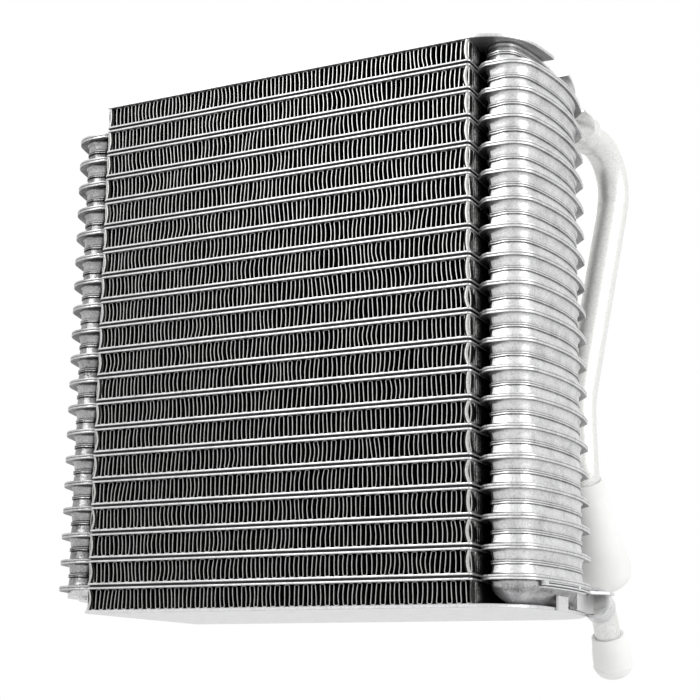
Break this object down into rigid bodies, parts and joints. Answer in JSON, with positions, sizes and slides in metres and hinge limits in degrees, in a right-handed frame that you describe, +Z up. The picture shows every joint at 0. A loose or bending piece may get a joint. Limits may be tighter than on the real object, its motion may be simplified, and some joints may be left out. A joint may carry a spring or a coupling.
{
  "type": "air conditioning evaporator",
  "caption": "Laminated plate and fin evaporator core with oval end tanks, end plates, a bent suction pipe and an inlet neck, both sealed with push-on caps.",
  "frame": {"origin": "centre of the core on the underside of the bottom end plate", "axes": "+X along the width of the core towards the piped end, -Y is the front face, +Z up the stack of tubes"},
  "size_m": [0.2371, 0.1306, 0.2545],
  "materials": {
    "tubes": "satin brazed sheet",
    "fins": "matt folded strip",
    "end_pieces": "satin pressed sheet",
    "pipes": "satin drawn tube",
    "caps": "smooth moulded"
  },
  "bodies": {
    "root": {"tube_01": "tubes", "tube_02": "tubes", "tube_03": "tubes", "tube_04": "tubes", "tube_05": "tubes", "tube_06": "tubes", "tube_07": "tubes", "tube_08": "tubes", "tube_09": "tubes", "tube_10": "tubes", "tube_11": "tubes", "tube_12": "tubes", "tube_13": "tubes", "tube_14": "tubes", "tube_15": "tubes", "tube_16": "tubes", "tube_17": "tubes", "tube_18": "tubes", "tube_19": "tubes", "fin_01": "fins", "fin_02": "fins", "fin_03": "fins", "fin_04": "fins", "fin_05": "fins", "fin_06": "fins", "fin_07": "fins", "fin_08": "fins", "fin_09": "fins", "fin_10": "fins", "fin_11": "fins", "fin_12": "fins", "fin_13": "fins", "fin_14": "fins", "fin_15": "fins", "fin_16": "fins", "fin_17": "fins", "fin_18": "fins", "fin_19": "fins", "fin_20": "fins", "top_end_plate": "end_pieces", "bottom_end_plate": "end_pieces", "top_end_cup": "end_pieces", "bottom_end_cup": "end_pieces", "left_end_cap": "end_pieces", "outlet_collar": "pipes", "outlet_bracket": "end_pieces", "suction_pipe": "pipes", "inlet_header": "end_pieces", "inlet_neck": "pipes", "suction_cap": "caps", "inlet_cap": "caps"}
  },
  "joints": []
}
